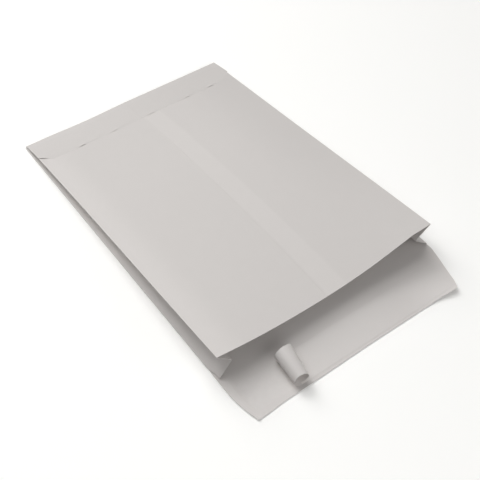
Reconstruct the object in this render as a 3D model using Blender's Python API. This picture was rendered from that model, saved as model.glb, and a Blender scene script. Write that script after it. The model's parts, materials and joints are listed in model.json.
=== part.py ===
# Side-gusseted pocket envelope, C4, with a peel-and-seal flap, lying on its front with the mouth standing open.
# Metres, +Z up. The front panel lies on Z = 0 and is centred on the origin; the mouth and its flap face -Y.
import math

import bmesh
import bpy
from mathutils import Vector

for leftover in list(bpy.data.objects):
    bpy.data.objects.remove(leftover, do_unlink=True)

# Stock and fits
paper = 0.0002
ply_gap = 0.0003
glue_film = 0.0001
liner_film = 0.0001

# The folded envelope
width = 0.229
length = 0.324
web_width = 0.019
throat = 0.004

# How the opened mouth stands
mouth_rise = 0.0268
mouth_inset_left = 0.013
mouth_inset_right = 0.0141
gusset_set_back_right = 0.005
mouth_rack = 0.0043
sag_depth = 0.0115
sag_start = 0.110
sag_lowest = -0.006
sag_flat_right = 0.0125
sag_hollow_right = 1.35
crown_height = 0.003
crown_run = 0.060
lift_left = 0.0036
lift_right = 0.0004
lift_run = 0.016

# Centre seam, where the right half of the back laps over the left half
seam_left = -0.003
seam_right = 0.0193
seam_ramp = 0.002
seam_glue_margin = 0.003

# Flap glued over the closed end
end_flap_depth = 0.0305
end_flap_bow = 0.004
end_flap_side = 0.0205
end_flap_corner = 0.0125
end_flap_overhang = 0.0012
end_glue_margin = 0.004

# Closure flap at the mouth
flap_depth = 0.0453
flap_askew = 0.0034
flap_shoulder = 0.015
flap_taper = 0.0082
flap_lean = 0.0034
flap_corner_round = 0.002
flap_lift_left = 0.001
flap_lift_right = 0.0035

# Peel-and-seal strip and its release liner
strip_width = 0.0266
strip_edge_margin = 0.0042
strip_end_margin = 0.006
liner_width = 0.0294
liner_edge_margin = 0.0029
liner_end_margin = 0.0045

# Peeled end of the liner, curled into one loose conical turn
curl_place = -0.0615
curl_skew = 0.0047
curl_radius_back = 0.009
curl_radius_front = 0.0074
curl_turns = 1.28
curl_draw_in = 0.0014
curl_steps = 30

half_width = width / 2
ply_pitch = paper + ply_gap
plies_under_back = 3
back_base = plies_under_back * ply_pitch
end_flap_base = back_base + ply_pitch
fold_radius = (end_flap_base + paper) / 2
closed_y = length / 2 - fold_radius - ply_gap
fold_y = closed_y + ply_gap
mouth_y = -length / 2
back_run = closed_y - mouth_y - throat
strip_start = flap_depth - strip_edge_margin - strip_width
liner_start = flap_depth - liner_edge_margin - liner_width
strip_z = paper + ply_gap
liner_z = strip_z + glue_film + ply_gap
end_glue_reach = end_flap_depth - end_flap_bow - end_glue_margin


def make_material(name, colour, roughness):
    material = bpy.data.materials.new(name)
    material.use_nodes = True
    shader = material.node_tree.nodes["Principled BSDF"]
    shader.inputs["Base Color"].default_value = (*colour, 1)
    shader.inputs["Roughness"].default_value = roughness
    shader.inputs["Metallic"].default_value = 0
    material.diffuse_color = (*colour, 1)
    return material


def make_empty(name, location, turn=0, parent=None):
    empty = bpy.data.objects.new(name, None)
    empty.location = location
    empty.rotation_euler.z = turn
    empty.parent = parent
    bpy.context.collection.objects.link(empty)
    return empty


def make_sheet(name, rows, thickness, colour, roughness, parent=None):
    # The rows run towards +Y and each row towards +X, so the surface faces up, and Solidify grows it upwards.
    mesh = bpy.data.meshes.new(name)
    surface = bmesh.new()
    grid = [[surface.verts.new(point) for point in row] for row in rows]
    for near, far in zip(grid, grid[1:]):
        for i in range(len(near) - 1):
            surface.faces.new((near[i], near[i + 1], far[i + 1], far[i]))
    bmesh.ops.remove_doubles(surface, verts=surface.verts, dist=1e-6)
    surface.to_mesh(mesh)
    surface.free()
    mesh.materials.append(make_material(name, colour, roughness))
    mesh.shade_smooth()
    mesh.set_sharp_from_angle(angle=math.radians(40))
    sheet = bpy.data.objects.new(name, mesh)
    sheet.parent = parent
    bpy.context.collection.objects.link(sheet)
    solidify = sheet.modifiers.new("sheet thickness", "SOLIDIFY")
    solidify.thickness = thickness
    solidify.offset = 1
    solidify.use_even_offset = True
    return sheet


def spread(start, end, count):
    return [start + (end - start) * i / count for i in range(count + 1)]


def merged(stations):
    # Sorted, without stations that stand closer than a tenth of a millimetre.
    kept = []
    for station in sorted(stations):
        if not kept or station - kept[-1] > 1e-4:
            kept.append(station)
    return kept


def ease(share):
    share = min(max(share, 0), 1)
    return share * share * (3 - 2 * share)


def edge_rise(x, run):
    # Height of the back between its side folds, by the distance run from the closed end: the pressed fold
    # springs up, more on the left, then the panel climbs evenly to the mouth.
    lift = lift_left + (lift_right - lift_left) * (x + half_width) / width
    climb = (mouth_rise - back_base - lift) * run / back_run
    return back_base + lift * (1 - math.exp(-run / lift_run)) + climb


def sag_share(x):
    # The edge at the mouth hangs lowest left of the middle, and lies straight for its last stretch on the right.
    if x < sag_lowest:
        return 1 - min((sag_lowest - x) / (sag_lowest + half_width), 1) ** 2
    way = min((x - sag_lowest) / (half_width - sag_flat_right - sag_lowest), 1)
    return (1 - way**2) ** sag_hollow_right


def back_height(x, run):
    # Underside of the back: crowned half way along, and sagging between its side folds towards the mouth.
    across = min(abs(x) / half_width, 1)
    near_mouth = max(0, (run - sag_start) / (back_run - sag_start)) ** 2
    crown = crown_height * (1 - across**5) * ease(run / crown_run) * (1 - near_mouth)
    return edge_rise(x, run) + crown - sag_depth * sag_share(x) * near_mouth


def lap_step(x):
    # What lies on the seam rides one ply higher, and steps down past the edge of the inner half.
    up = ease((x - seam_left + seam_ramp) / seam_ramp)
    down = ease((x - seam_right - ply_gap) / seam_ramp)
    return ply_pitch * (up - down)


side_stations = [half_width * share for share in (0.3, 0.5, 0.68, 0.8)]
corner_stations = spread(half_width - end_flap_corner, half_width, 3)
seam_stations = [
    seam_left - seam_ramp,
    seam_left - seam_ramp / 2,
    seam_left,
    seam_left + seam_glue_margin,
    seam_right - seam_glue_margin,
    seam_right,
    seam_right + ply_gap,
    seam_right + ply_gap + seam_ramp / 2,
    seam_right + ply_gap + seam_ramp,
]
x_stations = merged([-x for x in side_stations + corner_stations] + side_stations + corner_stations + seam_stations)
fold_runs = [0, 0.0025, end_glue_margin, 0.0065, 0.010, 0.014, 0.018]
end_flap_runs = merged(fold_runs + [end_flap_side, end_glue_reach, end_flap_depth - end_flap_bow, end_flap_depth])
run_stations = merged(end_flap_runs + spread(end_flap_depth, sag_start, 3) + spread(sag_start, back_run, 9))


def front_panel():
    # Its mouth end runs askew, because the opened envelope lies racked.
    rows = [
        [Vector((-half_width, mouth_y + mouth_rack / 2, 0)), Vector((half_width, mouth_y - mouth_rack / 2, 0))],
        [Vector((-half_width, closed_y, 0)), Vector((half_width, closed_y, 0))],
    ]
    make_sheet("front_panel", rows, paper, (0.56, 0.53, 0.51), 0.85)


def gusset_folds(side, share):
    # The gusset's fold on the front panel, its middle crease and its fold under the back panel,
    # at a share of the way from the closed end to the mouth.
    set_back = gusset_set_back_right if side > 0 else 0
    low_y = closed_y + (mouth_y - side * mouth_rack / 2 + set_back - closed_y) * share
    top_y = closed_y - back_run * share
    low_z = ply_pitch
    top_z = edge_rise(side * half_width, back_run * share) - ply_gap
    mouth_inset = mouth_inset_right if side > 0 else mouth_inset_left
    crease_x = side * (half_width - web_width + (web_width - mouth_inset) * share)
    low = Vector((side * half_width, low_y, low_z))
    crease = Vector((crease_x, (low_y + top_y) / 2, (low_z + top_z) / 2))
    top = Vector((side * half_width, top_y, top_z))
    return low, crease, top


def gusset(side_name, side):
    # Each web is a twisted strip, flat in the pressed closed end and standing at the mouth.
    up = Vector((0, 0, 1))
    front_rows = []
    back_rows = []
    for run in reversed(run_stations):
        low, crease, top = gusset_folds(side, run / back_run)
        front_rows.append([low, crease - up * (paper + ply_gap / 2)])
        back_rows.append([top - up * paper, crease + up * ply_gap / 2])
    for web_name, rows in (("front", front_rows), ("back", back_rows)):
        across = [sorted(row, key=lambda point: point.x) for row in rows]
        make_sheet(f"gusset_{side_name}_{web_name}_web", across, paper, (0.5, 0.48, 0.46), 0.85)


def back_rows_of(stations, runs, offset):
    # Rows on the back, in the frame of the closed-end fold, raised by offset(x) above its inner ply's underside.
    return [
        [Vector((x, -ply_gap - run, back_height(x, run) + offset(x) - fold_radius)) for x in stations]
        for run in reversed(runs)
    ]


def back_halves(hinge):
    left = [x for x in x_stations if x < seam_right + ply_gap / 2]
    right = [x for x in x_stations if x > seam_left - ply_gap / 2]
    inner = back_rows_of(left, run_stations, lambda x: 0)
    outer = back_rows_of(right, run_stations, lap_step)
    make_sheet("back_panel_left", inner, paper, (0.62, 0.59, 0.57), 0.85, hinge)
    make_sheet("back_panel_right", outer, paper, (0.6, 0.57, 0.55), 0.85, hinge)


def seam_glue(hinge):
    stations = [x for x in x_stations if seam_left + ply_gap < x < seam_right - ply_gap]
    rows = back_rows_of(stations, run_stations, lambda x: paper + (ply_gap - glue_film) / 2)
    make_sheet("seam_glue", rows, glue_film, (0.55, 0.5, 0.4), 0.4, hinge)


def past_corner(x):
    # Share of the way across a cut corner of the end flap.
    return max(0, abs(x) - (half_width - end_flap_corner)) / end_flap_corner


def end_flap_reach(x):
    # The free edge bows back a little from its middle, then runs straight across each cut corner.
    cut_from = half_width - end_flap_corner
    bowed = end_flap_depth - end_flap_bow * (min(abs(x), cut_from) / cut_from) ** 2
    return bowed - (bowed - end_flap_side) * past_corner(x)


def end_flap(hinge):
    # From the edge of the front panel it goes round the closed end and lies on the back, glued a little askew:
    # its right end stands past the side fold.
    rows = []
    for run in reversed(end_flap_runs):
        row = []
        for x in x_stations:
            reached = min(run, end_flap_reach(x))
            height = back_height(x, reached) + lap_step(x) + ply_pitch - fold_radius
            overhang = end_flap_overhang * past_corner(x) * reached / end_flap_side if x > 0 else 0
            row.append(Vector((x + overhang, -ply_gap - reached, height)))
        rows.append(row)
    for angle in spread(math.pi / 2, -math.pi / 2, 8):
        row = []
        for x in x_stations:
            bend = (end_flap_base + lap_step(x) - paper) / 2
            centre = paper + bend - fold_radius
            row.append(Vector((x, bend * math.cos(angle), centre + bend * math.sin(angle))))
        rows.append(row)
    make_sheet("end_flap", rows, paper, (0.62, 0.6, 0.57), 0.85, hinge)


def end_flap_glue(hinge):
    runs = [run for run in end_flap_runs if end_glue_margin - 1e-6 <= run <= end_glue_reach + 1e-6]
    stations = [x for x in x_stations if abs(x) <= half_width - end_flap_corner + 1e-6]
    rows = back_rows_of(stations, runs, lambda x: lap_step(x) + paper + (ply_gap - glue_film) / 2)
    make_sheet("end_flap_glue", rows, glue_film, (0.55, 0.5, 0.4), 0.4, hinge)


def flap_side(side, depth):
    # Side edge of the closure flap: straight to its shoulder, then tapering, all leaning to the left as it lies.
    taper = flap_taper * max(0, depth - flap_shoulder) / (flap_depth - flap_shoulder)
    to_end = flap_depth - depth
    corner = 0
    if to_end < flap_corner_round:
        corner = flap_corner_round - math.sqrt(flap_corner_round**2 - (flap_corner_round - to_end) ** 2)
    return side * (half_width - taper - corner) - flap_lean * ease(depth / flap_shoulder)


def flap_lift(x, depth):
    # The two free corners stand a little off the table.
    height = flap_lift_left if x < 0 else flap_lift_right
    return height * (abs(x) / half_width) ** 3 * (depth / flap_depth) ** 2


def flap_askew_at(x, depth):
    # The free edge of the flap runs on towards its left corner.
    return flap_askew * ease(-x / half_width) * (depth / flap_depth) ** 2


def flap_rows(left_of, right_of, depths, across, base, further=lambda x, depth: 0):
    # Rows on the closure flap, in the frame of its crease, raised to base above the table.
    rows = []
    for depth in reversed(depths):
        left = left_of(depth)
        right = right_of(depth)
        xs = [left + (right - left) * share for share in across]
        rows.append([Vector((x, -depth - further(x, depth), base + flap_lift(x, depth) - paper / 2)) for x in xs])
    return rows


def closure_flap(hinge):
    corner = [flap_depth - flap_corner_round * share for share in (1, 0.6, 0.3, 0.1, 0)]
    near_crease = spread(ply_gap / 2, flap_shoulder, 4)
    depths = merged(near_crease + spread(flap_shoulder, corner[0], 5)) + corner[1:]
    across = spread(0, 0.15, 2)[:-1] + spread(0.15, 0.85, 5) + spread(0.85, 1, 2)[1:]
    rows = flap_rows(lambda d: flap_side(-1, d), lambda d: flap_side(1, d), depths, across, 0, flap_askew_at)
    make_sheet("closure_flap", rows, paper, (0.57, 0.55, 0.53), 0.85, hinge)


def adhesive_strip(hinge):
    depths = spread(strip_start, strip_start + strip_width, 4)
    rows = flap_rows(
        lambda d: flap_side(-1, d) + strip_end_margin,
        lambda d: flap_side(1, d) - strip_end_margin,
        depths,
        spread(0, 1, 12),
        strip_z,
    )
    make_sheet("adhesive_strip", rows, glue_film, (0.58, 0.56, 0.53), 0.25, hinge)


def release_liner(slide):
    # One row goes from the loose inner end of the curl round to where it touches down, then flat to the right.
    rows = []
    for depth in reversed(spread(liner_start, liner_start + liner_width, 4)):
        share = (depth - liner_start) / liner_width
        touch = curl_place - curl_skew * share
        radius = curl_radius_back + (curl_radius_front - curl_radius_back) * share
        floor = liner_z + flap_lift(touch, depth) - paper / 2
        row = []
        for angle in spread(2 * math.pi * curl_turns, 0, curl_steps):
            reach = radius - curl_draw_in * angle / (2 * math.pi)
            row.append(Vector((touch - reach * math.sin(angle), -depth, floor + radius - reach * math.cos(angle))))
        for x in spread(touch, flap_side(1, depth) - liner_end_margin, 8)[1:]:
            row.append(Vector((x, -depth, liner_z + flap_lift(x, depth) - paper / 2)))
        rows.append(row)
    make_sheet("release_liner", rows, liner_film, (0.6, 0.58, 0.57), 0.5, slide)


closed_end_fold = make_empty("closed_end_fold", (0, fold_y, fold_radius))
flap_crease = make_empty("flap_crease", (0, mouth_y - ply_gap / 2, paper / 2), -math.atan2(mouth_rack, width))
liner_pull = make_empty("liner_pull", (0, 0, 0), parent=flap_crease)

front_panel()
gusset("left", -1)
gusset("right", 1)
back_halves(closed_end_fold)
seam_glue(closed_end_fold)
end_flap(closed_end_fold)
end_flap_glue(closed_end_fold)
closure_flap(flap_crease)
adhesive_strip(flap_crease)
release_liner(liner_pull)
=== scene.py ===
import json
import math

import bpy
from mathutils import Matrix, Vector


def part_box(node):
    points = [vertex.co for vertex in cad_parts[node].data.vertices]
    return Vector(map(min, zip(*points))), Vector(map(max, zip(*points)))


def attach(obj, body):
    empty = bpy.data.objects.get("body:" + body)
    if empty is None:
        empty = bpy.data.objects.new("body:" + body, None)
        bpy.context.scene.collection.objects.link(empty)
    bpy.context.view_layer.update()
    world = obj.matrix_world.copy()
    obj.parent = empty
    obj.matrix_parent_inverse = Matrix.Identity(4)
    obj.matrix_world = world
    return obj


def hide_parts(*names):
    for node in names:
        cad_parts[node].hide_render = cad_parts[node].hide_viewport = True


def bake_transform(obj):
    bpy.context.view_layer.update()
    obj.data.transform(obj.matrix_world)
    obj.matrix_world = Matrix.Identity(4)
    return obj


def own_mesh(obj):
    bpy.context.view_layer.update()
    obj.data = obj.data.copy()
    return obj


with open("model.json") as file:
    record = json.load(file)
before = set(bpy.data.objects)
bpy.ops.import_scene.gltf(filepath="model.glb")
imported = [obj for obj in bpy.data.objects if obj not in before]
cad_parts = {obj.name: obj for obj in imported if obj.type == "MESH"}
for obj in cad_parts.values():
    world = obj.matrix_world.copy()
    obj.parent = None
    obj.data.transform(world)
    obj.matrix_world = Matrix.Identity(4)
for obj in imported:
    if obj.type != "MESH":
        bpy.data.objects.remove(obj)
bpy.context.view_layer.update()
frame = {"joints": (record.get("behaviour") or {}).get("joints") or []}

frontLow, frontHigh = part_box("front_panel")
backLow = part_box("back_panel_left")[0]
joints = {joint["name"]: joint for joint in frame["joints"]}
foldPlace = Vector(joints["mouth_open"]["pos_m"])
creasePlace = Vector(joints["flap_fold"]["pos_m"])
creaseAxis = -Vector(joints["flap_fold"]["axis"])
creaseOut = Vector((creaseAxis.y, -creaseAxis.x, 0))

envelope = {
    "sheet": 0.00014,        # thickness of the paper
    "bed": (frontHigh.z - frontLow.z) / 2,
    "halfWidth": frontHigh.x,
    "closedY": frontHigh.y,
    "mouthY": backLow.y,
    "mouthRise": 0.0268,
    "foldRoll": 0.00025,     # radius of a pressed fold, at the middle of the sheet
    "film": 0.00002,         # dry glue
    "endTilt": 0.0006,       # the closed end isn't folded quite square
    "endShift": 0.0008,
    "endDent": 0.0011,
    "endDentAt": -0.048,
    "endDentSpan": 0.045,
    "endRun": 0.045,         # how far from it the sheets still lie crooked
    "smoothBelow": 40,       # degrees
}


def ease(share):
    share = min(max(share, 0), 1)
    return share * share * (3 - 2 * share)


def between(low, high, share):
    return low + (high - low) * share


class Signal:
    # A node's output whose arithmetic adds Math nodes to its own tree.
    def __init__(self, finish, socket):
        self.finish = finish
        self.socket = socket

    def combined(self, operation, first, second):
        return self.finish.add("ShaderNodeMath", {"operation": operation}, {0: first, 1: second})

    def __add__(self, other):
        return self.combined("ADD", self, other)

    def __sub__(self, other):
        return self.combined("SUBTRACT", self, other)

    def __rsub__(self, other):
        return self.combined("SUBTRACT", other, self)

    def __mul__(self, other):
        return self.combined("MULTIPLY", self, other)


class Finish:
    # A material whose nodes all come from one method.
    def __init__(self, name):
        self.material = bpy.data.materials.new(name)
        self.material.use_nodes = True
        self.tree = self.material.node_tree
        self.tree.nodes.clear()

    def add(self, kind, settings=None, sockets=None, output=0):
        node = self.tree.nodes.new(kind)
        for setting, value in (settings or {}).items():
            setattr(node, setting, value)
        for key, value in (sockets or {}).items():
            if isinstance(value, Signal):
                self.tree.links.new(value.socket, node.inputs[key])
            else:
                node.inputs[key].default_value = value
        return Signal(self, node.outputs[output]) if len(node.outputs) else node

    def objectPlace(self):
        return self.add("ShaderNodeTexCoord", output=3)

    def coordinate(self, place, index):
        return self.add("ShaderNodeSeparateXYZ", {}, {0: place}, output=index)

    def step(self, value, low, high):
        # 0 below low, 1 above high and smooth between.
        sockets = {"Value": value, "From Min": low, "From Max": high}
        return self.add("ShaderNodeMapRange", {"interpolation_type": "SMOOTHSTEP"}, sockets)

    def noise(self, place, scale, detail, roughness=0.5):
        sockets = {"Vector": place, "Scale": scale, "Detail": detail, "Roughness": roughness}
        return self.add("ShaderNodeTexNoise", {}, sockets)

    def mixed(self, share, low, high):
        settings = {"data_type": "RGBA", "clamp_factor": False}
        return self.add("ShaderNodeMix", settings, {0: share, 6: low, 7: high}, output=2)

    def finished(self, surface):
        self.add("ShaderNodeOutputMaterial", {}, {"Surface": surface})
        return self.material


warmCast = (1, 0.955, 0.924)


def grey(level):
    # Pale grey with the photograph's faint warm cast.
    return tuple(level * channel for channel in warmCast) + (1,)


paperLook = {
    "low": 0.600,
    "high": 0.665,
    "middle": 0.4,           # where between them the sheet stands
    "cloudScale": 90,        # formation of the sheet, patches of about a centimetre
    "cloudDetail": 3.0,
    "cloudDepth": 0.25,
    "fibreScale": 1500,
    "fibreDetail": 4.0,
    "fibreRoughness": 0.6,
    "fibreDepth": 0.14,
    "toothHeight": 0.000035,
    "toothStrength": 0.3,
    "toothClouds": 0.5,
    "roughness": 0.78,
    "roughnessSpread": 0.15,
    "specular": 0.3,
}


def formation(finish, place, look):
    # A sheet's clouds and fibres, and how light they make it.
    clouds = finish.noise(place, look["cloudScale"], look["cloudDetail"])
    fibres = finish.noise(place, look["fibreScale"], look["fibreDetail"], look["fibreRoughness"])
    lightness = (clouds - 0.5) * look["cloudDepth"] + (fibres - 0.5) * look["fibreDepth"] + look["middle"]
    return clouds, fibres, lightness


def paperFinish(name, paintedShading=None):
    # Smooth envelope paper: cloudy formation, fine fibre and a slight tooth. Its last argument adds a
    # sheet's painted light and painted shade.
    finish = Finish(name)
    place = finish.objectPlace()
    clouds, fibres, lightness = formation(finish, place, paperLook)
    if paintedShading is not None:
        lightness = lightness + paintedShading(finish, place)
    sockets = {
        "Strength": paperLook["toothStrength"],
        "Distance": paperLook["toothHeight"],
        "Height": fibres + clouds * paperLook["toothClouds"],
    }
    tooth = finish.add("ShaderNodeBump", {}, sockets)
    sockets = {
        "Base Color": finish.mixed(lightness, grey(paperLook["low"]), grey(paperLook["high"])),
        "Roughness": (clouds - 0.5) * paperLook["roughnessSpread"] + paperLook["roughness"],
        "Normal": tooth,
        "Specular IOR Level": paperLook["specular"],
    }
    return finish.finished(finish.add("ShaderNodeBsdfPrincipled", {}, sockets))


def deselectAll():
    bpy.ops.object.select_all(action="DESELECT")


def laidSheet(name, columns, rows, lay):
    # A flat unit grid whose points are laid by a rule, from (across, along), both 0 to 1, to its place.
    deselectAll()
    bpy.ops.mesh.primitive_grid_add(
        x_subdivisions=columns, y_subdivisions=rows, size=1, location=(0.5, 0.5, 0)
    )
    sheet = bpy.context.active_object
    bpy.ops.object.transform_apply(location=True, rotation=True, scale=True)
    sheet.name = name
    sheet.data.name = name
    for point in sheet.data.vertices:
        point.co = lay(min(max(point.co.x, 0), 1), min(max(point.co.y, 0), 1))
    return sheet


def thicken(sheet, thickness):
    deselectAll()
    sheet.select_set(True)
    bpy.context.view_layer.objects.active = sheet
    solid = sheet.modifiers.new("thickness", "SOLIDIFY")
    solid.thickness = thickness
    solid.offset = 0
    solid.use_even_offset = True
    bpy.ops.object.modifier_apply(modifier=solid.name)
    bpy.ops.object.shade_smooth_by_angle(angle=math.radians(envelope["smoothBelow"]))


def dress(sheet, material, slot, *nodes):
    sheet.data.materials.clear()
    sheet.data.materials.append(material)
    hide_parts(*nodes)


backShape = {
    "start": 0.0015,         # underside of the back over the pressed stack
    "liftLeft": 0.0036,
    "liftRight": 0.0004,
    "liftRun": 0.016,
    "crown": 0.0020,
    "crownRun": 0.100,
    "crownPower": 5,         # how square its shoulders are
    "inset": {-1: (0.0006, -0.0004), 1: (0.0010, 0)},  # of its side folds, first and at the mouth
    "insetFrom": 0.3,
    "sag": 0.0120,
    "sagAt": 0,              # where the mouth's edge hangs lowest
    "sagLeft": 2.2,
    "sagRight": 1.2,
    "sagFlat": 0.0205,       # and its last stretch on the right lies straight
    "sagStart": 0.110,
    "rippleRun": 0.05,
    "ripples": ((0.031, 2.1, 0, 0.00010), (0.055, -3.4, 1, 0.00014)),  # length, slant, phase, height
    "rows": 130,
    "columns": 64,
}
backRun = envelope["closedY"] - envelope["mouthY"]

frontShape = {
    "spring": {-1: (0.0006, 0.0025), 1: (0, 0.0012)},  # of its side folds, at the closed end and the mouth
    "mouthRoll": 0.0008,     # their radius at the mouth
    "freeFrom": 0.955,       # share of the way where a web's end starts to come free of them
    "freeRun": 0.035,
    "columns": 48,
    "rows": 60,
}


def endY(x, run):
    # Where the sheets lie along the envelope, with the slightly crooked fold of the closed end.
    dent = max(0, 1 - ((x - envelope["endDentAt"]) / envelope["endDentSpan"]) ** 2) ** 2
    askew = envelope["endShift"] + envelope["endTilt"] * x / envelope["halfWidth"]
    crooked = askew - envelope["endDent"] * dent
    return envelope["closedY"] - run + crooked * max(0, 1 - run / envelope["endRun"]) ** 2


def backHalf(side, share):
    # Half the back panel's width in plan: it draws in a little where the panel stands crowned.
    start = backShape["insetFrom"]
    return envelope["halfWidth"] - between(*backShape["inset"][side], ease((share - start) / (1 - start)))


def frontHalf(side, share):
    # Half the front panel's width: the opened side folds spring outwards towards the mouth.
    return envelope["halfWidth"] + between(*frontShape["spring"][side], share)


def frontRoll(share):
    # The fold under a front web opens up towards the mouth.
    return between(envelope["foldRoll"], frontShape["mouthRoll"], share * share)


def atEnds(share):
    # 1 over the last stretch before the mouth, where a web's end comes free of its fold.
    return ease((share - frontShape["freeFrom"]) / frontShape["freeRun"])


def edgeRise(x, run):
    # Underside of the back over its side folds, by the distance run from the closed end.
    lift = between(backShape["liftLeft"], backShape["liftRight"], (x / envelope["halfWidth"] + 1) / 2)
    climb = (envelope["mouthRise"] - backShape["start"] - lift) * run / backRun
    return backShape["start"] + lift * (1 - math.exp(-run / backShape["liftRun"])) + climb


def ripple(x, run):
    # Slack waves that a sheet of paper keeps, fading out at the folds.
    across = x / envelope["halfWidth"]
    hold = max(0, 1 - across * across) * ease(run / backShape["rippleRun"])
    wave = 0
    for length, slant, phase, height in backShape["ripples"]:
        wave += math.sin(run / length + slant * across + phase) * height
    return hold * wave


def sagShare(x):
    # The mouth's edge hangs between its corners, fuller to the left.
    past = x - backShape["sagAt"]
    if past < 0:
        way = min(1, -past / (envelope["halfWidth"] + backShape["sagAt"]))
        return 1 - way ** backShape["sagLeft"]
    way = min(1, past / (envelope["halfWidth"] - backShape["sagFlat"] - backShape["sagAt"]))
    return (1 - way * way) ** backShape["sagRight"]


def backHeight(x, run):
    across = min(abs(x) / envelope["halfWidth"], 1)
    nearMouth = max(0, (run - backShape["sagStart"]) / (backRun - backShape["sagStart"])) ** 2
    crown = backShape["crown"] * (1 - across ** backShape["crownPower"])
    crown *= ease(run / backShape["crownRun"]) * (1 - nearMouth)
    return edgeRise(x, run) + crown - backShape["sag"] * sagShare(x) * nearMouth + ripple(x, run)


seam = {
    "edgeAtMouth": -0.0029,  # free edge of the right half, which laps over the left half
    "edgeAtEnd": 0.0002,
    "innerEdge": 0.0193,
    "lap": 0.00010,          # height of the upper ply over the lower
    "ramp": 0.0024,
    "glueMargin": 0.003,
    "glueColumns": 10,
    "notch": 0.0007,         # the upper ply's cut edge stands back beside the seam
    "notchWidth": 0.0026,
    "notchFade": 12,         # over one twelfth of its length
}


def seamEdge(run):
    return between(seam["edgeAtEnd"], seam["edgeAtMouth"], run / backRun)


def lapStep(x, run):
    up = ease((x - seamEdge(run) + seam["ramp"]) / seam["ramp"])
    down = ease((x - seam["innerEdge"]) / seam["ramp"])
    return seam["lap"] * (up - down)


def layBack(low, high, raised, shortest=0, longest=backRun, notch=0):
    # A rule for a sheet on the back, from low(run) to high(run) across and raised over the lower ply.
    def lay(across, along):
        run = between(longest, shortest, along)
        x = between(low(run), high(run), across)
        beside = max(0, 1 - (x - low(run)) / seam["notchWidth"])
        run = run - notch * beside ** 2 * max(0, 1 - seam["notchFade"] * along)
        return Vector((x, endY(x, run), backHeight(x, run) + envelope["bed"] + raised(x, run)))

    return lay


backTones = {
    "web": (-0.109, -0.080),  # the left gusset lies straight behind the panel, out to here
    # painted light at the left margin, besides the paleness of the gusset ply behind it
    "webPlyAndPaintedLight": 0.55,
    "lapFrom": (-0.003, 0.0005),
    "lapTo": (0.017, 0.0205),
    "lapPale": 0.30,
    # painted shade on the right side, fading out towards the mouth
    "right": (0.030, 0.100),
    "rightAlong": (-0.190, 0.030),
    "rightPaintedShade": 0.55,
    # painted shade towards the closed end
    "closedEnd": (0.040, 0.130),
    "closedEndPaintedShade": 0.20,
}


def plyPaleAndPaintedShade(finish, place):
    # Where the gusset or the other half lies straight behind the back panel, less light is lost through it;
    # at the left margin over the gusset painted light is added too. Painted shade darkens the right side and
    # the closed end.
    across, along = finish.coordinate(place, 0), finish.coordinate(place, 1)
    margin = (1 - finish.step(across, *backTones["web"])) * backTones["webPlyAndPaintedLight"]
    lapped = finish.step(across, *backTones["lapFrom"]) * (1 - finish.step(across, *backTones["lapTo"]))
    right = finish.step(across, *backTones["right"]) * finish.step(along, *backTones["rightAlong"])
    closedEnd = finish.step(along, *backTones["closedEnd"]) * backTones["closedEndPaintedShade"]
    return margin + lapped * backTones["lapPale"] - right * backTones["rightPaintedShade"] - closedEnd


def backEdge(side):
    return lambda run: side * (backHalf(side, run / backRun) - envelope["foldRoll"])


def backHalves():
    rows, columns = backShape["rows"], backShape["columns"]
    leftRule = layBack(backEdge(-1), lambda run: seam["innerEdge"], lambda x, run: 0)
    rightRule = layBack(seamEdge, backEdge(1), lapStep, notch=seam["notch"])
    left = laidSheet("backLeft", columns, rows, leftRule)
    right = laidSheet("backRight", columns * 2, rows, rightRule)
    paper = paperFinish("backPaper", plyPaleAndPaintedShade)
    for half, node in ((left, "back_panel_left"), (right, "back_panel_right")):
        thicken(half, envelope["sheet"])
        dress(half, paper, "paper", node)
        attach(half, "back")
    print("Back panel laid in two halves")


glueLook = {
    "dry": (0.55, 0.52, 0.46, 1),
    "tacky": 0.64,
    "streakScale": 220,
    "streakDetail": 2.0,
    "streakShade": 0.93,
    "paintedLightBy": 1.5,        # how far painted light reaches towards the clear tone
    "roughness": 0.35,
    "roughnessSpread": 0.2,
}


def glueFinish(name, tone, paintedShading=None):
    finish = Finish(name)
    place = finish.objectPlace()
    streaks = finish.noise(place, glueLook["streakScale"], glueLook["streakDetail"])
    share = streaks - paintedShading(finish, place) * glueLook["paintedLightBy"] if paintedShading else streaks
    streaked = tuple(channel * glueLook["streakShade"] for channel in tone[:3]) + (1,)
    sockets = {
        "Base Color": finish.mixed(share, tone, streaked),
        "Roughness": streaks * glueLook["roughnessSpread"] + glueLook["roughness"],
    }
    return finish.finished(finish.add("ShaderNodeBsdfPrincipled", {}, sockets))


def seamGlue(material):
    film = laidSheet(
        "seamFilm",
        seam["glueColumns"],
        backShape["rows"],
        layBack(
            lambda run: seamEdge(run) + seam["glueMargin"],
            lambda run: seam["innerEdge"] - seam["glueMargin"],
            lambda x, run: seam["lap"] / 2,
        ),
    )
    thicken(film, envelope["film"])
    dress(film, material, "dry_glue", "seam_glue")
    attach(film, "back")
    print("Seam glued")


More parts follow.
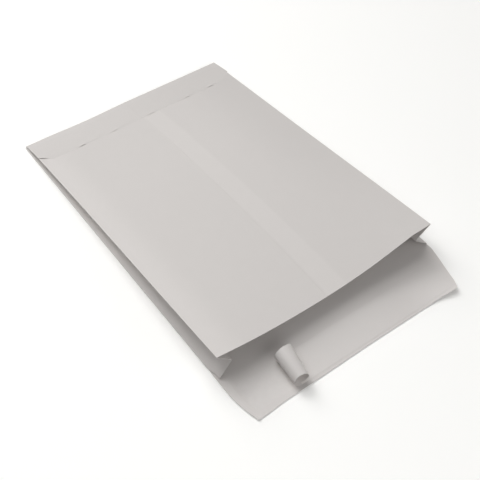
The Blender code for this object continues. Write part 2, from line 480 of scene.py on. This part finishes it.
endFlap = {
    "depth": 0.0346,
    "askew": 0.019,          # its free edge runs askew, deeper to the left
    "bow": 0.0008,
    "sideDepth": {-1: 0.0255, 1: 0.0205},
    "corner": 0.0125,        # length of the cut at each corner
    "overhang": 0.0012,
    "lap": 0.00017,
    "pressed": 0.00013,      # how far the glued edge is pressed into the back
    "looseRun": 0.005,       # how far from the edge its waves reach
    "waves": (               # place, half span and height of each
        (-0.1105, 0.0050, 0.0008), (-0.0710, 0.0055, 0.00058), (-0.0345, 0.0060, 0.00036),
        (0.0095, 0.0075, 0.00036), (0.0535, 0.0055, 0.00036), (0.0845, 0.0060, 0.00040),
    ),
    "columns": 150,
    "topRows": 24,
    "topRowSpread": 1.4,     # rows stand closer towards the fold
    "rollRows": 12,
    "glueMargin": 0.004,
    "glueReach": 0.0223,
    "glueColumns": 60,
    "glueRows": 10,
    # painted shade over the whole end flap, deeper towards the right
    "right": (-0.060, 0.100),
    "endRightPaintedShade": -0.35,
    "tone": -0.30,
}


def endFlapPaintedShade(finish, place):
    # Painted shade over the end flap, deeper towards the right.
    right = finish.step(finish.coordinate(place, 0), *endFlap["right"])
    return right * endFlap["endRightPaintedShade"] + endFlap["tone"]


def pastCorner(x):
    return max(0, abs(x) - (envelope["halfWidth"] - endFlap["corner"])) / endFlap["corner"]


def endFlapReach(x):
    middle = endFlap["depth"] - endFlap["askew"] * x - endFlap["bow"] * (x / envelope["halfWidth"]) ** 2
    return between(middle, endFlap["sideDepth"][1 if x > 0 else -1], pastCorner(x))


def looseEdge(x, fromEdge):
    # The free edge is pressed down, but between its dabs of glue it stands off the back a little.
    lift = -endFlap["pressed"]
    for middle, halfSpan, height in endFlap["waves"]:
        near = max(0, 1 - ((x - middle) / halfSpan) ** 2)
        lift += height * near * near
    return lift * max(0, 1 - fromEdge / endFlap["looseRun"]) ** 2


def layEndFlap(across, along):
    # From its free edge over the back, round the closed end and under, to the edge of the front panel.
    x = between(-backHalf(-1, 0), backHalf(1, 0), across)
    step = along * (endFlap["topRows"] + endFlap["rollRows"] + 1)
    reach = endFlapReach(x)

    def top(run):
        return backHeight(x, run) + lapStep(x, run) + endFlap["lap"] + envelope["bed"]

    if step <= endFlap["topRows"]:
        run = reach * (1 - step / endFlap["topRows"]) ** endFlap["topRowSpread"]
        overhang = endFlap["overhang"] * pastCorner(x) * run / endFlap["sideDepth"][1] if x > 0 else 0
        return Vector((x + overhang, endY(x, run), top(run) + looseEdge(x, reach - run)))
    if step > endFlap["topRows"] + endFlap["rollRows"] + 0.5:
        return Vector((x, endY(x, 0), envelope["bed"]))
    bend = (top(0) - envelope["bed"]) / 2
    turn = math.pi * (0.5 - (step - endFlap["topRows"]) / endFlap["rollRows"])
    middle = Vector((x, endY(x, 0) + foldPlace.y - envelope["closedY"], envelope["bed"] + bend))
    return middle + Vector((0, math.cos(turn), math.sin(turn))) * bend


def endFlapAndGlue(material):
    flap = laidSheet("endFlap", endFlap["columns"], endFlap["topRows"] + endFlap["rollRows"] + 1, layEndFlap)
    thicken(flap, envelope["sheet"])
    dress(flap, paperFinish("endFlapPaper", endFlapPaintedShade), "paper", "end_flap")
    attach(flap, "back")
    side = envelope["halfWidth"] - endFlap["corner"]
    film = laidSheet(
        "endFlapFilm",
        endFlap["glueColumns"],
        endFlap["glueRows"],
        layBack(
            lambda run: -side,
            lambda run: side,
            lambda x, run: lapStep(x, run) + endFlap["lap"] / 2,
            endFlap["glueMargin"],
            endFlap["glueReach"],
        ),
    )
    thicken(film, envelope["film"])
    dress(film, material, "dry_glue", "end_flap_glue")
    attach(film, "back")
    print("Closed end folded over and glued")


gusset = {
    "webWidth": 0.019,
    # The crease at the mouth: out, y, share of the height.
    "atMouth": {-1: (0.1015, -0.1597, 0.50), 1: (0.1004, -0.1571, 0.48)},
    "frontMouth": {-1: -0.1615, 1: -0.1590},  # where the front webs' ends stand on the front panel
    "tuck": {-1: 0.0022, 1: 0.0002},          # and how far inside its side edge
    "freeRise": 1.1,         # sheets by which those ends lie higher
    "bow": 0.0003,
    "rollSteps": 6,
    "webSteps": 12,
    "creaseSteps": 3,
    "rows": 110,
    # painted shade on the gussets at the mouth and painted light further in
    "fromMouth": (-0.150, 0.050),
    "deepPaintedLight": 1.3,
    "mouthPaintedShade": -0.25,
}


def gussetPaintedLightAndShade(finish, place):
    # Painted shade on the gusset webs at the mouth, painted light further in.
    fromMouth = finish.step(finish.coordinate(place, 1), *gusset["fromMouth"])
    return fromMouth * gusset["deepPaintedLight"] + gusset["mouthPaintedShade"]


def webPoint(foldOut, roll, rise, creaseTo, share, progress):
    # One web's section from its fold to the gusset's crease, as (out, up from the fold, share of the way).
    pinch = envelope["foldRoll"]
    spanOut = creaseTo + pinch - foldOut + roll
    spanUp = rise - roll
    reach = math.hypot(spanOut, spanUp)
    turn = math.atan2(spanUp, spanOut) + math.asin(min(1, (roll + pinch) / reach))
    centre = Vector((foldOut - roll, roll))
    fold = centre + Vector((math.sin(turn), -math.cos(turn))) * roll
    crease = Vector((creaseTo + pinch, rise)) + Vector((-math.sin(turn), math.cos(turn))) * pinch
    steps = progress * (gusset["rollSteps"] + gusset["webSteps"] + gusset["creaseSteps"])
    if steps <= gusset["rollSteps"]:
        angle = turn * steps / gusset["rollSteps"]
        return centre + Vector((math.sin(angle), -math.cos(angle))) * roll, 0
    steps -= gusset["rollSteps"]
    if steps <= gusset["webSteps"]:
        way = steps / gusset["webSteps"]
        bow = gusset["bow"] * math.sin(math.pi * way) * ease(share * 2)
        return fold.lerp(crease, way) + Vector((-math.sin(turn), math.cos(turn))) * bow, way
    angle = between(turn, math.pi / 2, (steps - gusset["webSteps"]) / gusset["creaseSteps"])
    return Vector((creaseTo + pinch - math.sin(angle) * pinch, rise + math.cos(angle) * pinch)), 1


def layWeb(side, isBack):
    creaseTo, creaseY, creaseUp = gusset["atMouth"][side]

    def lay(across, along):
        share = 1 - along
        run = backRun * share
        low = envelope["bed"]
        high = edgeRise(side * envelope["halfWidth"], run) + envelope["bed"]
        crease = between(low, high, between(0.5, creaseUp, share))
        to = between(envelope["halfWidth"] - gusset["webWidth"], creaseTo, share)
        creaseAlong = between(endY(side * to, 0), creaseY, share)
        if isBack:
            half = backHalf(side, share)
            point, way = webPoint(half, envelope["foldRoll"], high - crease, to, share, across)
            y = endY(side * envelope["halfWidth"], run)
            z = high - point.y
        else:
            low += envelope["sheet"] * gusset["freeRise"] * atEnds(share)
            half = frontHalf(side, share) - gusset["tuck"][side] * atEnds(share)
            point, way = webPoint(half, frontRoll(share), crease - low, to, share, across)
            y = endY(side * envelope["halfWidth"], 0) * along + gusset["frontMouth"][side] * share
            z = low + point.y
        return Vector((side * point.x, between(y, creaseAlong, way), z))

    return lay


def gussets():
    columns = gusset["rollSteps"] + gusset["webSteps"] + gusset["creaseSteps"]
    paper = paperFinish("gussetPaper", gussetPaintedLightAndShade)
    for sideName, side in (("left", -1), ("right", 1)):
        creaseTo, creaseY, creaseUp = gusset["atMouth"][side]
        atMouth = Vector((side * creaseTo, creaseY, 0))
        atEnd = Vector((side * (envelope["halfWidth"] - gusset["webWidth"]), envelope["closedY"], 0))
        crease = (atEnd - atMouth).normalized()
        outward = Vector((crease.y, -crease.x, 0)) * side
        inset = envelope["halfWidth"] - creaseTo
        for webName, isBack in (("Front", False), ("Back", True)):
            web = laidSheet(f"{sideName}{webName}Web", columns, gusset["rows"], layWeb(side, isBack))
            thicken(web, envelope["sheet"])
            dress(web, paper, "paper", f"gusset_{sideName}_{webName.lower()}_web")
            start, end = atMouth + outward * inset, atMouth - outward * inset
            if isBack:
                start, end = end, start
            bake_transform(web)
            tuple(start)
            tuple(end)
    print("Gussets folded in")


def frontPanel():
    def lay(across, along):
        inset = frontRoll(1 - along) * (1 - atEnds(1 - along))
        x = between(inset - frontHalf(-1, 1 - along), frontHalf(1, 1 - along) - inset, across)
        mouthY = creasePlace.y + creaseAxis.y / creaseAxis.x * (x - creasePlace.x)
        return Vector((x, between(mouthY, endY(x, 0), along), envelope["bed"]))

    panel = laidSheet("front", frontShape["columns"], frontShape["rows"], lay)
    thicken(panel, envelope["sheet"])
    dress(panel, paperFinish("frontPaper"), "paper", "front_panel")
    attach(panel, "front")
    print("Front panel laid")


flapShape = {
    "depth": 0.0450,
    "leftMore": 0.0012,      # the end edge runs a little askew, deeper to the left
    "leftMoreFrom": 0.020,
    "leftMoreRun": 0.100,
    "leftTip": 0.0014,       # and both its corners reach further
    "leftTipFrom": 0.082,
    "leftTipRun": 0.030,
    "rightTip": 0.0016,
    "rightTipFrom": 0.090,
    "rightTipRun": 0.020,
    "bulge": 0.1170,         # widest half, to the left
    "bulgeAt": 0.015,
    "endLeft": 0.1112,
    "endLeftPower": 1.75,
    "endRight": 0.1024,
    "endRightPower": 1.1,
    "sideRight": 0.00045,    # the right side edge swells by this much half way
    "cornerCut": 0.0024,     # and the corner itself is rubbed round
    "cutFrom": 0.0365,
    "cutRun": 0.0100,
    "endLift": 0.0004,
    "endLiftPower": 6,
    "cornerLift": 0.0034,
    "cornerLiftPower": 3.5,
    "cornerFrom": 0.062,
    "cornerSpan": 0.042,
    "leftLift": 0.0008,
    "leftLiftPace": 3,
    "leftSpan": 0.004,
    "creaseRows": 4,
    "creaseHalf": 0.0008,
    "columns": 150,
    "columnSpread": 0.6,
    "rows": 48,
}


flapTones = {
    # painted light towards the flap's sides, more at the right
    "sides": (0.040, 0.095),
    "sidesPaintedLight": 0.70,
    "right": (0.045, 0.095),
    "rightPaintedLight": 0.60,
    "crease": (-0.190, -0.158),
}


def paintedLightAtSides(finish, place):
    # Painted light on the flap and the films on it, towards the sides and most at the right, fading to none
    # at the crease.
    across, along = finish.coordinate(place, 0), finish.coordinate(place, 1)
    off = finish.add("ShaderNodeMath", {"operation": "ABSOLUTE"}, {0: across})
    sides = finish.step(off, *flapTones["sides"]) * flapTones["sidesPaintedLight"]
    pale = sides + finish.step(across, *flapTones["right"]) * flapTones["rightPaintedLight"]
    return pale * (1 - finish.step(along, *flapTones["crease"]))


def fromCrease(across, out, height):
    flat = creasePlace + creaseAxis * across + creaseOut * out
    return Vector((flat.x, flat.y, height))


def flapDepth(across):
    left = ease((flapShape["leftMoreFrom"] - across) / flapShape["leftMoreRun"])
    leftTip = ease((-across - flapShape["leftTipFrom"]) / flapShape["leftTipRun"])
    rightTip = ease((across - flapShape["rightTipFrom"]) / flapShape["rightTipRun"])
    tips = flapShape["leftTip"] * leftTip + flapShape["rightTip"] * rightTip
    return flapShape["depth"] + flapShape["leftMore"] * left + tips


def flapSide(side, out):
    # The shoulders bulge a little before the flap narrows towards its end.
    if side > 0:
        way = min(1, out / flapShape["depth"])
        cut = flapShape["cornerCut"] * max(0, (out - flapShape["cutFrom"]) / flapShape["cutRun"]) ** 2
        swell = flapShape["sideRight"] * 4 * way * (1 - way) - cut
        return between(frontHalf(1, 1), flapShape["endRight"], way ** flapShape["endRightPower"]) + swell
    if out < flapShape["bulgeAt"]:
        return -between(frontHalf(-1, 1), flapShape["bulge"], ease(out / flapShape["bulgeAt"]))
    way = (out - flapShape["bulgeAt"]) / (flapDepth(-flapShape["endLeft"]) - flapShape["bulgeAt"])
    return -between(flapShape["bulge"], flapShape["endLeft"], min(1, way) ** flapShape["endLeftPower"])


def flapLift(across, out):
    # The end edge stands off the table, most at the right corner.
    end = out / flapShape["depth"]
    right = ease((across - flapShape["cornerFrom"]) / flapShape["cornerSpan"])
    left = ease(1 - (across + flapShape["endLeft"]) / flapShape["leftSpan"])
    corner = flapShape["cornerLift"] * right * end ** flapShape["cornerLiftPower"]
    even = flapShape["endLift"] * end ** flapShape["endLiftPower"]
    return corner + even + flapShape["leftLift"] * left * min(1, flapShape["leftLiftPace"] * end)


def layFlap(across, along):
    # Columns stand closer at the sides and rows at the crease, where the sheet turns.
    spread = between(across, 0.5 - 0.5 * math.cos(math.pi * across), flapShape["columnSpread"])
    step = (1 - along) * flapShape["rows"]
    depth = flapDepth(between(-envelope["halfWidth"], envelope["halfWidth"], spread))
    if step <= flapShape["creaseRows"]:
        out = flapShape["creaseHalf"] * step / flapShape["creaseRows"]
    else:
        rest = (step - flapShape["creaseRows"]) / (flapShape["rows"] - flapShape["creaseRows"])
        out = between(flapShape["creaseHalf"], depth, rest)
    a = between(flapSide(-1, out), flapSide(1, out), spread)
    return fromCrease(a, out, envelope["bed"] + flapLift(a, out))


def closureFlap():
    flap = laidSheet("closureFlap", flapShape["columns"], flapShape["rows"], layFlap)
    thicken(flap, envelope["sheet"])
    dress(flap, paperFinish("flapPaper", paintedLightAtSides), "paper", "closure_flap")
    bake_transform(flap)
    print("Closure flap laid out")


strip = {
    "start": 0.0145,
    "width": 0.0266,
    "endMargin": 0.006,
    "film": 0.00004,
    "columns": 90,
    "rows": 10,
    "linerStart": 0.0130,
    "linerWidth": 0.0294,
    "linerFilm": 0.00007,
    "linerGap": 0.00002,
    "linerEndMargin": 0.0045,
}


stripBed = envelope["bed"] + envelope["sheet"] / 2


def sealStrip():
    def lay(across, along):
        out = strip["start"] + strip["width"] * (1 - along)
        a = between(flapSide(-1, out) + strip["endMargin"], flapSide(1, out) - strip["endMargin"], across)
        return fromCrease(a, out, stripBed + strip["film"] / 2 + flapLift(a, out))

    adhesive = laidSheet("sealStrip", strip["columns"], strip["rows"], lay)
    thicken(adhesive, strip["film"])
    tacky = glueFinish("sealAdhesive", grey(glueLook["tacky"]), paintedLightAtSides)
    dress(adhesive, tacky, "adhesive", "adhesive_strip")
    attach(adhesive, "flap")
    print("Sealing strip laid")


curl = {
    "place": -0.0615,
    "skew": 0.0036,
    "radiusBack": 0.0085,
    "radiusFront": 0.0067,
    "wide": 1.08,            # the curl slumps under its own weight
    "highBack": 0.86,
    "highFront": 0.99,
    "turns": 1.20,
    "drawIn": 0.0014,
    "tuckedIn": 0.0018,      # the front rim leans back at the upper left
    "tuckedPace": 1.5,
    "facing": 0.5,           # cosine from which a face looks to the roll's axis
    "curlSteps": 90,
    "flatSteps": 90,
    "rows": 24,
}

linerBed = stripBed + strip["film"] + strip["linerGap"] + strip["linerFilm"] / 2


def linerPlace(along):
    # Where a line of the liner lies: out from the crease, its share of the width and where it touches down.
    share = 1 - along
    return strip["linerStart"] + strip["linerWidth"] * share, share, curl["place"] - curl["skew"] * share


def layCurl(across, along):
    # From the loose inner end of the curl round to where it touches down.
    out, share, touch = linerPlace(along)
    radius = between(curl["radiusBack"], curl["radiusFront"], share)
    angle = 2 * math.pi * curl["turns"] * (1 - across)
    reach = radius - curl["drawIn"] * angle / (2 * math.pi)
    height = (radius - reach * math.cos(angle)) * between(curl["highBack"], curl["highFront"], share)
    a = touch - reach * curl["wide"] * math.sin(angle)
    lean = curl["tuckedIn"] * share * math.sin(angle / curl["tuckedPace"]) ** 2
    return fromCrease(a, out - lean, linerBed + flapLift(touch, out) + height)


def layFlatLiner(across, along):
    out, share, touch = linerPlace(along)
    a = between(touch, flapSide(1, out) - strip["linerEndMargin"], across)
    return fromCrease(a, out, linerBed + flapLift(a, out))


linerLook = {
    "flat": (0.600, 0.660),
    # painted light: the paler copy for the curl's inner side
    "inside": (0.68, 0.73),
    "middle": 0.5,
    "cloudScale": 120,
    "cloudDetail": 3.0,
    "cloudDepth": 0.3,
    "fibreScale": 1300,
    "fibreDetail": 3.0,
    "fibreRoughness": 0.5,
    "fibreDepth": 0.1,
    "roughness": 0.5,
    "roughnessSpread": 0.12,
    # painted shade down the curl's left side
    "left": (-0.0085, -0.0012),  # from the roll's axis
    "leftPaintedShade": 0.5,
    # painted light at the curl's foot
    "foot": (0.002, 0.008),      # height over the table
    "footPaintedLight": 3.6,
    # painted shade over the whole loose film
    "loose": (0.001, 0.006),
    "loosePaintedShade": 0.45,
    # painted light on the stuck liner under the curl's right side
    "under": (0.004, 0.0085),
    "underPaintedLight": 3.0,
}


def fromCurlAxis(finish, place):
    # How far to the right of the roll's axis a place is.
    slope = curl["skew"] / strip["linerWidth"]
    skewed = creaseAxis + creaseOut * slope
    offset = curl["place"] + creasePlace.dot(skewed) + slope * strip["linerStart"]
    sockets = {0: place, 1: skewed}
    return finish.add("ShaderNodeVectorMath", {"operation": "DOT_PRODUCT"}, sockets, output=1) - offset


def curlPaintedShadeAndLight(finish, place):
    # Painted shade over the loose film, most of all down its left side, and painted light at its foot.
    height = finish.coordinate(place, 2)
    left = (1 - finish.step(fromCurlAxis(finish, place), *linerLook["left"])) * linerLook["leftPaintedShade"]
    foot = (1 - finish.step(height, *linerLook["foot"])) * linerLook["footPaintedLight"]
    return foot - finish.step(height, *linerLook["loose"]) * (left + linerLook["loosePaintedShade"])


def paintedLightUnderCurl(finish, place):
    # Painted light on the stuck part under the curl's right side, where the curl shades it.
    under = 1 - finish.step(fromCurlAxis(finish, place), *linerLook["under"])
    return paintedLightAtSides(finish, place) + under * linerLook["underPaintedLight"]


def linerFinish(name, low, high, paintedShading=paintedLightAtSides):
    finish = Finish(name)
    place = finish.objectPlace()
    clouds, fibres, lightness = formation(finish, place, linerLook)
    sockets = {
        "Base Color": finish.mixed(lightness + paintedShading(finish, place), grey(low), grey(high)),
        "Roughness": (clouds - 0.5) * linerLook["roughnessSpread"] + linerLook["roughness"],
    }
    return finish.finished(finish.add("ShaderNodeBsdfPrincipled", {}, sockets))


def facesRollAxis(face):
    # Whether a face of the curl looks to the middle of the roll.
    spot = face.center - creasePlace
    out = spot.dot(creaseOut)
    share = (out - strip["linerStart"]) / strip["linerWidth"]
    radius = between(curl["radiusBack"], curl["radiusFront"], share)
    axis = fromCrease(curl["place"] - curl["skew"] * share, out, linerBed + radius)
    return face.normal.dot(axis - face.center) > curl["facing"] * (axis - face.center).length


def releaseLiner():
    flat = linerFinish("siliconedPaper", *linerLook["flat"], paintedLightUnderCurl)
    loose = linerFinish("siliconedPaperLoose", *linerLook["flat"], curlPaintedShadeAndLight)
    rolled = ("linerCurl", curl["curlSteps"], layCurl, loose)
    stuck = ("linerFlat", curl["flatSteps"], layFlatLiner, flat)
    for name, columns, lay, material in (rolled, stuck):
        part = laidSheet(name, columns, curl["rows"], lay)
        thicken(part, strip["linerFilm"])
        dress(part, material, "liner", "release_liner")
        if lay is layCurl:
            # Painted light: the curl's inner side gets a paler copy of the film's finish.
            part.data.materials.append(linerFinish("siliconedPaperInsidePaintedLight", *linerLook["inside"]))
            for face in part.data.polygons:
                face.material_index = int(facesRollAxis(face))
            # A height for the curl pressed flat against the strip is worked out but not used; the curl gets
            # its own mesh.
            pressed = linerBed + flapShape["endLift"] / 2
            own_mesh(part)
        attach(part, "liner")
    print("Liner half peeled")


backHalves()
dryGlue = glueFinish("dryGlue", glueLook["dry"])
seamGlue(dryGlue)
endFlapAndGlue(dryGlue)
gussets()
frontPanel()
closureFlap()
sealStrip()
releaseLiner()

studio = {
    "azimuth": -38.13,
    "elevation": 49.44,
    "roll": 1.54,
    "distance": 0.72439,
    "aim": (-0.01609, -0.05694, 0),
    "lens": 60.90,
    "sensor": 36,
    "nearest": 0.05,
    "floorSide": 8.0,
    "floorDrop": 0.00005,
    "floorBounce": 0.80,     # what the floor gives back to the envelope
    "floorSeen": (1.045, 1.04, 1.02, 1),  # and how white the camera finds it
    "fadeFrom": 0.40,        # further out the camera finds it plain white
    "fadeTo": 0.95,
    "ambient": 0.01,
    # Azimuth from above, 0 towards the mouth and 90 to the right; elevation, distance, size, power.
    "lamps": (
        ("overhead", 167, 57, 4.0, 3.0, 64.0),
        ("behind", 180, 32, 4.0, 2.2, 76.0),
        ("front", 0, 17, 4.0, 3.2, 55.0),
        ("frontRight", 45, 17, 4.0, 3.2, 43.0),
        ("leftFront", 330, 35, 1.2, 0.96, 2.4),
        ("leftBehind", 210, 45, 1.2, 0.96, 3.2),
        ("left", 270, 70, 0.8, 0.64, 0.7),
    ),
}


def directionOf(azimuth, elevation):
    turn = math.radians(azimuth)
    tilt = math.radians(elevation)
    return Vector((math.sin(turn) * math.cos(tilt), -math.cos(turn) * math.cos(tilt), math.sin(tilt)))


def placeCamera():
    back = directionOf(studio["azimuth"], studio["elevation"])
    roll = math.radians(studio["roll"])
    level = directionOf(studio["azimuth"] + 90, 0)
    up = back.cross(level)
    right = level * math.cos(roll) + up * math.sin(roll)
    up = up * math.cos(roll) - level * math.sin(roll)
    lens = bpy.data.cameras.new("camera")
    lens.lens = studio["lens"]
    lens.sensor_width = studio["sensor"]
    lens.clip_start = studio["nearest"]
    camera = bpy.data.objects.new("camera", lens)
    turned = Matrix((right, up, back)).transposed().to_4x4()
    camera.matrix_world = Matrix.Translation(Vector(studio["aim"]) + back * studio["distance"]) @ turned
    bpy.context.scene.collection.objects.link(camera)
    bpy.context.scene.camera = camera


def layFloor():
    deselectAll()
    bpy.ops.mesh.primitive_plane_add(size=studio["floorSide"], location=(0, 0, -studio["floorDrop"]))
    floor = bpy.context.active_object
    bpy.ops.object.transform_apply(location=True, rotation=True, scale=True)
    floor.name = "floor"
    finish = Finish("floorWhite")
    seen = finish.add("ShaderNodeLightPath", output=0)
    bounce, white = studio["floorBounce"], studio["floorSeen"]
    colour = finish.mixed(seen, (bounce, bounce, bounce, 1), white)
    near = finish.add("ShaderNodeBsdfDiffuse", {}, {"Color": colour})
    glow = finish.add("ShaderNodeEmission", {}, {"Color": (1, 1, 1, 1), "Strength": 1.0})
    place = finish.objectPlace()
    out = finish.add("ShaderNodeVectorMath", {"operation": "LENGTH"}, {0: place}, output=1)
    far = finish.step(out, studio["fadeFrom"], studio["fadeTo"]) * seen
    surface = finish.add("ShaderNodeMixShader", {}, {0: far, 1: near, 2: glow})
    floor.data.materials.append(finish.finished(surface))


def lightStudio():
    world = bpy.data.worlds.new("studio")
    bpy.context.scene.world = world
    world.use_nodes = True
    tree = world.node_tree
    tree.nodes.clear()
    sky = tree.nodes.new("ShaderNodeBackground")
    sky.inputs["Strength"].default_value = studio["ambient"]
    white = tree.nodes.new("ShaderNodeBackground")
    path = tree.nodes.new("ShaderNodeLightPath")
    mix = tree.nodes.new("ShaderNodeMixShader")
    out = tree.nodes.new("ShaderNodeOutputWorld")
    white.inputs["Color"].default_value = (1, 1, 1, 1)
    sky.inputs["Color"].default_value = (1, 1, 1, 1)
    tree.links.new(path.outputs["Is Camera Ray"], mix.inputs[0])
    tree.links.new(sky.outputs[0], mix.inputs[1])
    tree.links.new(white.outputs[0], mix.inputs[2])
    tree.links.new(mix.outputs[0], out.inputs[0])
    for name, azimuth, elevation, distance, size, power in studio["lamps"]:
        lamp = bpy.data.lights.new(name, "AREA")
        lamp.energy = power
        lamp.size = size
        stand = bpy.data.objects.new(name, lamp)
        toward = directionOf(azimuth, elevation)
        stand.location = toward * distance
        stand.rotation_mode = "QUATERNION"
        stand.rotation_quaternion = toward.to_track_quat("Z", "Y")
        bpy.context.scene.collection.objects.link(stand)


placeCamera()
layFloor()
lightStudio()
bpy.context.scene.view_settings.view_transform = "Standard"
print("Studio lit")
